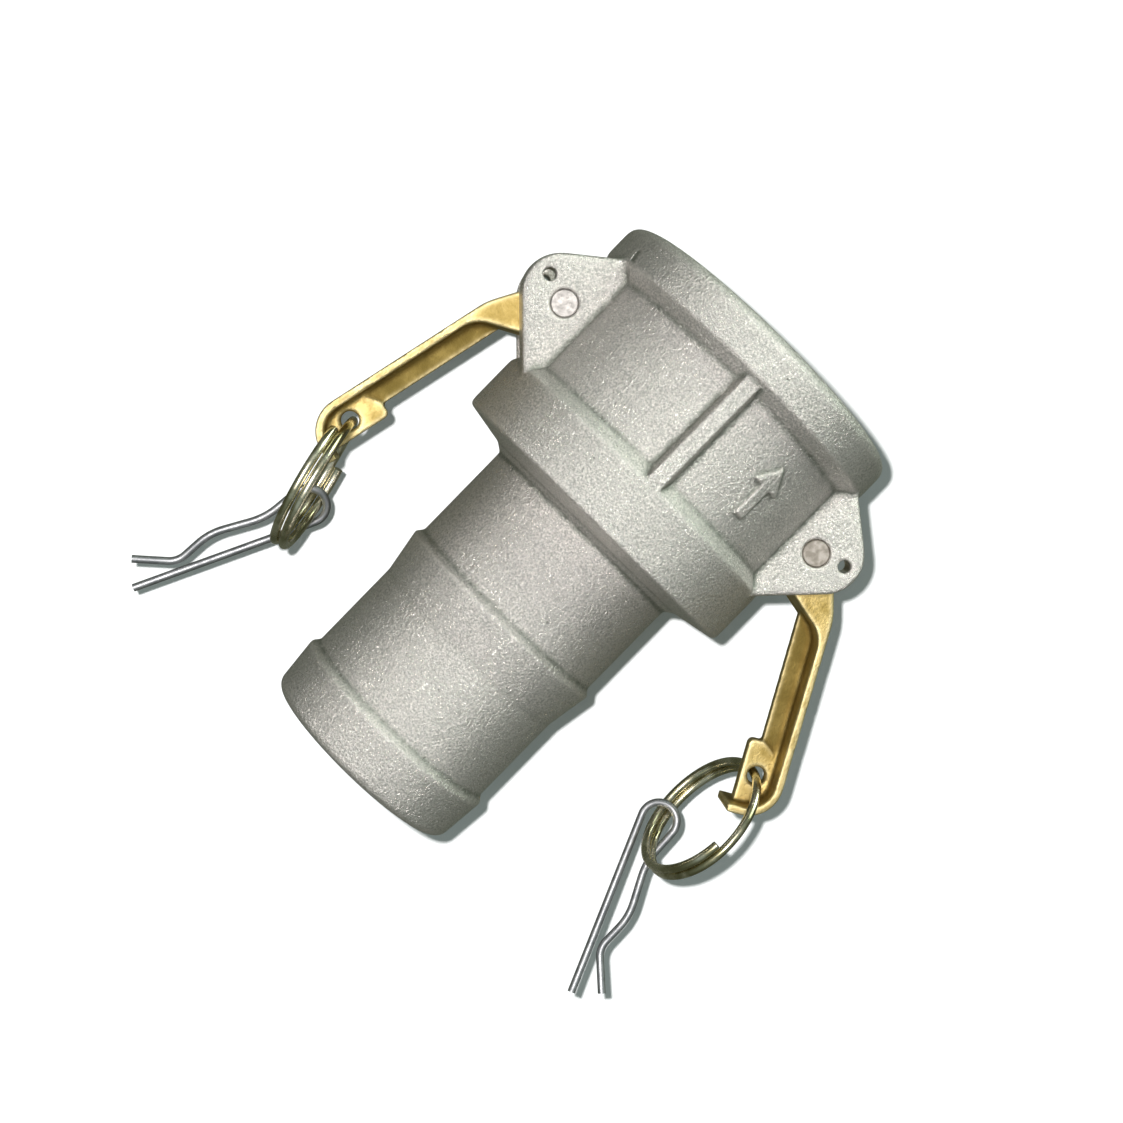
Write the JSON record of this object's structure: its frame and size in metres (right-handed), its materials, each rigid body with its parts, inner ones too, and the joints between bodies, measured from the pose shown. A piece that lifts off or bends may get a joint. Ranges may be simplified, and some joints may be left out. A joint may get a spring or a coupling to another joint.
{
  "type": "camlock coupler",
  "caption": "Cam and groove hose coupler: socket with hinged cam arms, each with a pull ring and safety clip, on a barbed hose shank.",
  "frame": {"origin": "centre of the socket's mouth, on the bore axis", "axes": "+X out of the socket along the bore, so the hose shank points along -X; +Y from the bore towards the left cam arm's pivot; +Z along the pivot pins, the side the rings hang nearest the viewer's reach"},
  "size_m": [0.1359, 0.1455, 0.0764],
  "materials": {
    "cast_aluminium": "blasted casting",
    "arm_brass": "satin",
    "pin_steel": "ground",
    "ring_steel": "yellow zinc plated",
    "clip_steel": "bright zinc plated",
    "gasket_rubber": "matte"
  },
  "bodies": {
    "coupler": {"coupler_body": "cast_aluminium", "socket_gasket": "gasket_rubber", "pivot_pin_left": "pin_steel", "pivot_pin_right": "pin_steel"},
    "arm_left": {"cam_arm_left": "arm_brass"},
    "arm_right": {"cam_arm_right": "arm_brass"},
    "ring_left": {"pull_ring_left": "ring_steel"},
    "ring_right": {"pull_ring_right": "ring_steel"},
    "clip_left": {"safety_clip_left": "clip_steel"},
    "clip_right": {"safety_clip_right": "clip_steel"}
  },
  "joints": [
    {"name": "left_arm_pivot", "type": "hinge", "parent": "coupler", "child": "arm_left", "pos_m": [-0.0242, 0.0376, 0], "axis": [0, 0, -1], "range_deg": [-10.9, 82.1]},
    {"name": "right_arm_pivot", "type": "hinge", "parent": "coupler", "child": "arm_right", "pos_m": [-0.0242, -0.0376, 0], "axis": [0, 0, 1], "range_deg": [-24, 66.2]},
    {"name": "left_ring_swing", "type": "hinge", "parent": "arm_left", "child": "ring_left", "pos_m": [-0.07361, 0.05302, 0], "axis": [0, 0, -1], "range_deg": [-5, 20]},
    {"name": "right_ring_swing", "type": "hinge", "parent": "arm_right", "child": "ring_right", "pos_m": [-0.06749, -0.06596, 0], "axis": [0, 0, 1], "range_deg": [0, 20]},
    {"name": "left_clip_swing", "type": "hinge", "parent": "ring_left", "child": "clip_left", "pos_m": [-0.09592, 0.04612, -0.0154], "axis": [0.843, 0.1629, -0.5127], "range_deg": [-5, 60]},
    {"name": "right_clip_swing", "type": "hinge", "parent": "ring_right", "child": "clip_right", "pos_m": [-0.09389, -0.06154, -0.01251], "axis": [-0.6967, -0.1478, 0.702], "range_deg": [0, 60]}
  ]
}
